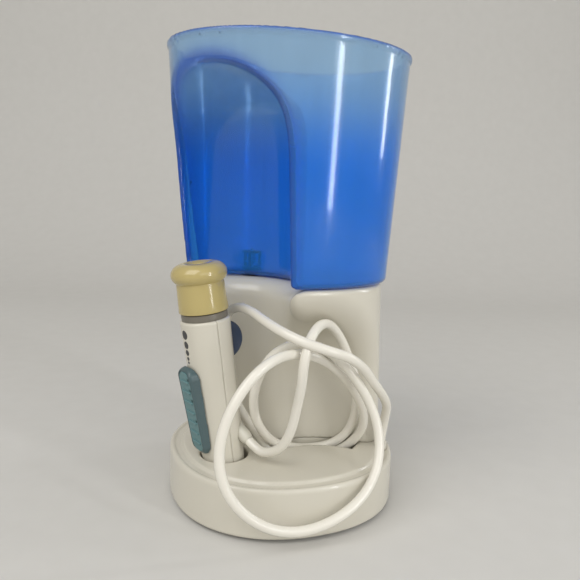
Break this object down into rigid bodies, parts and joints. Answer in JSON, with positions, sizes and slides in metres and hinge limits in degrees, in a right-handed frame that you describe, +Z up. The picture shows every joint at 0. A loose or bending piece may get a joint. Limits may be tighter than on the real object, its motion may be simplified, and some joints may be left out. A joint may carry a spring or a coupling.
{
  "type": "water flosser",
  "caption": "Countertop water flosser with a lift-off translucent tank, a leaning spray handle in a socket and a coiled hose hanging in front of the pump column.",
  "frame": {"origin": "centre of the base's footprint, on the surface that the feet stand on", "axes": "+Z up, -Y towards the front of the base, -X towards the side that the handle stands at"},
  "size_m": [0.124, 0.1274, 0.229],
  "materials": {
    "housing_plastic": "glossy off-white moulded plastic",
    "cover_plastic": "satin off-white plastic",
    "rubber_black": "soft dark rubber",
    "steel": "plain steel",
    "white_plastic": "white plastic",
    "hose_vinyl": "smooth white vinyl",
    "tube_vinyl": "clear-grey vinyl",
    "pump_plastic": "natural moulded plastic",
    "brass": "machined brass",
    "board_green": "green laminate",
    "black_plastic": "black plastic",
    "grey_plastic": "mid grey plastic",
    "tank_blue": "translucent blue plastic",
    "cream_plastic": "aged cream plastic",
    "teal_dark": "dark teal plastic",
    "teal_light": "teal ribbed plastic",
    "navy_plastic": "dark blue plastic"
  },
  "bodies": {
    "root": {"base_shell": "housing_plastic", "column_shell": "housing_plastic", "bottom_cover": "cover_plastic", "foot_1": "rubber_black", "foot_2": "rubber_black", "foot_3": "rubber_black", "foot_4": "rubber_black", "cover_screws": "steel", "cord_inlet": "rubber_black", "hose_gland": "white_plastic", "hose": "hose_vinyl", "inlet_port": "rubber_black", "suction_tube": "tube_vinyl", "outlet_tube": "tube_vinyl", "motor": "steel", "motor_mount": "pump_plastic", "motor_screws": "steel", "pump_body": "pump_plastic", "pump_head": "pump_plastic", "inlet_valve_ball": "steel", "outlet_valve_ball": "steel", "circuit_board": "board_green", "board_parts": "black_plastic", "switch_housing": "grey_plastic"},
    "rocker": {"switch_rocker": "black_plastic"},
    "pinion": {"motor_pinion": "brass"},
    "crank": {"crank_gear": "white_plastic"},
    "plunger": {"pump_plunger": "white_plastic"},
    "tank": {"tank": "tank_blue", "tank_valve_seat": "rubber_black", "tank_valve_spring": "steel"},
    "poppet": {"tank_valve_poppet": "white_plastic"},
    "handle": {"handle_front_shell": "housing_plastic", "handle_rear_shell": "housing_plastic", "handle_collar": "grey_plastic", "level_dots": "grey_plastic", "valve_block": "pump_plastic", "feed_pipe": "white_plastic", "water_pipe": "white_plastic", "jet_socket": "white_plastic", "knob_seal": "rubber_black", "handle_screws": "steel", "strain_relief": "white_plastic"},
    "knob": {"tip_knob": "cream_plastic"},
    "slider": {"pressure_slider": "teal_dark", "slider_pad": "teal_light"},
    "eject": {"eject_button": "navy_plastic", "eject_spring": "steel", "tip_latch": "white_plastic"}
  },
  "joints": [
    {"name": "tank_lift", "type": "slide", "parent": "root", "child": "tank", "axis": [0, 0, 1], "range_m": [0, 0.04]},
    {"name": "tank_valve", "type": "slide", "parent": "tank", "child": "poppet", "axis": [0, 0, -1], "range_m": [0, 0.0022], "stiffness_N_per_m": 100, "deforming": ["tank_valve_spring"]},
    {"name": "handle_lift", "type": "slide", "parent": "root", "child": "handle", "axis": [-0.1426, 0, 0.9898], "range_m": [0, 0.03]},
    {"name": "knob_spin", "type": "hinge", "parent": "handle", "child": "knob", "pos_m": [-0.04631, -0.01, 0.10618], "axis": [-0.1426, 0, 0.9898], "continuous": true},
    {"name": "pressure_slide", "type": "slide", "parent": "handle", "child": "slider", "axis": [-0.1426, 0, 0.9898], "range_m": [0, 0.008]},
    {"name": "eject_press", "type": "slide", "parent": "handle", "child": "eject", "axis": [-0.9561, -0.2588, -0.1378], "range_m": [0, 0.0025], "stiffness_N_per_m": 400},
    {"name": "power_rocker", "type": "hinge", "parent": "root", "child": "rocker", "pos_m": [0.0289, 0.05006, 0.014], "axis": [-0.866, 0.5, 0], "range_deg": [-8, 8]},
    {"name": "crank_spin", "type": "hinge", "parent": "root", "child": "crank", "pos_m": [0.005, 0.0155, 0.028], "axis": [0, 0, 1], "continuous": true},
    {"name": "motor_spin", "type": "hinge", "parent": "root", "child": "pinion", "pos_m": [0.0226, 0.0178, 0.028], "axis": [0, 0, 1], "continuous": true},
    {"name": "plunger_stroke", "type": "slide", "parent": "root", "child": "plunger", "axis": [1, 0, 0], "range_m": [-0.0035, 0.0035]}
  ],
  "couplings": [
    {"joint": "motor_spin", "follows": "crank_spin", "ratio": -3.7778}
  ]
}
